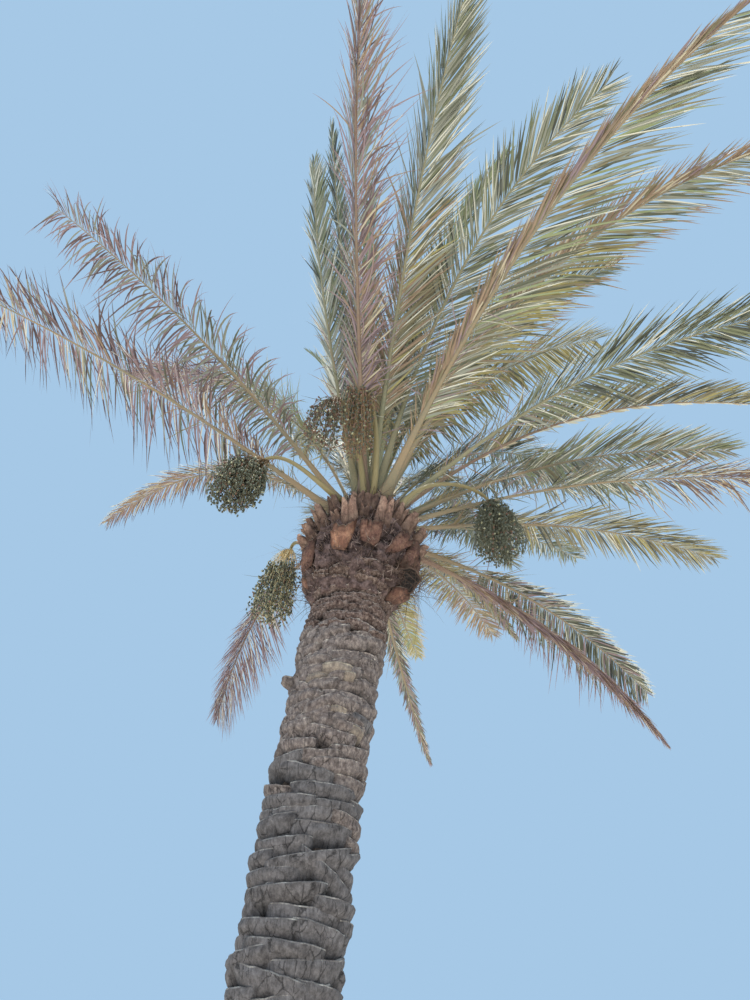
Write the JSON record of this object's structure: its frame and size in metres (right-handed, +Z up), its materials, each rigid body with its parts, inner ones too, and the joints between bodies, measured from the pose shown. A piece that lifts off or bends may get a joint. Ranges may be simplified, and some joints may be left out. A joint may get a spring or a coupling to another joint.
{
  "type": "date palm tree",
  "caption": "Date palm with a leaning trunk in rings of cut leaf bases, a swollen head and a crown of feather fronds, fullest on one side, with bunches of dates.",
  "frame": {"origin": "middle of the flat cut under the trunk, at ground level", "axes": "+Z up; -Y is the side the picture was taken from; the trunk leans towards +X"},
  "size_m": [7.0113, 6.8436, 8.2306],
  "materials": {
    "bark": "matte",
    "leaf_base": "matte",
    "fibre": "matte",
    "frond_rib": "satin",
    "leaf_young": "satin",
    "leaf_green": "satin",
    "leaf_old": "satin",
    "leaf_dry": "matte",
    "fruit_stalk": "satin",
    "date_fruit": "satin"
  },
  "bodies": {
    "root": {"frond_back_left_stalk": "leaf_old", "frond_back_left_tip": "leaf_old", "frond_back_right_a": "leaf_green", "frond_back_right_b": "leaf_old", "frond_crown_a": "leaf_young", "frond_crown_b": "leaf_green", "frond_crown_c": "leaf_young", "frond_crown_d": "leaf_young", "frond_crown_e": "leaf_young", "frond_crown_f": "leaf_young", "frond_crown_g": "leaf_young", "frond_far_right_stalk": "leaf_old", "frond_far_right_tip": "leaf_old", "frond_hang_left_stalk": "leaf_dry", "frond_hang_left_tip": "leaf_dry", "frond_high_back_a": "leaf_green", "frond_high_back_b": "leaf_green", "frond_high_back_c": "leaf_green", "frond_high_back_d": "leaf_green", "frond_left": "leaf_dry", "frond_low_back_a": "leaf_old", "frond_low_back_b": "leaf_old", "frond_low_back_c": "leaf_old", "frond_low_back_d": "leaf_old", "frond_low_back_e": "leaf_green", "frond_low_left_stalk": "leaf_old", "frond_low_left_tip": "leaf_old", "frond_low_right_a": "leaf_dry", "frond_low_right_b": "leaf_old", "frond_mid_back_a": "leaf_green", "frond_mid_back_b": "leaf_green", "frond_mid_back_c": "leaf_green", "frond_mid_back_d": "leaf_green", "frond_near_brown": "leaf_dry", "frond_near_green": "leaf_green", "frond_near_right": "leaf_old", "frond_right_a": "leaf_green", "frond_right_b_stalk": "leaf_dry", "frond_right_b_tip": "leaf_dry", "frond_right_c": "leaf_old", "frond_right_d": "leaf_old", "frond_right_e": "leaf_old", "frond_right_f": "leaf_green", "frond_rise_left": "leaf_green", "frond_rise_left_in": "leaf_green", "frond_rise_right_stalk": "leaf_green", "frond_rise_right_tip": "leaf_green", "frond_spear": "leaf_young", "frond_upper_left": "leaf_old", "leaf_base_head": "leaf_base", "trunk": "bark"}
  },
  "joints": []
}
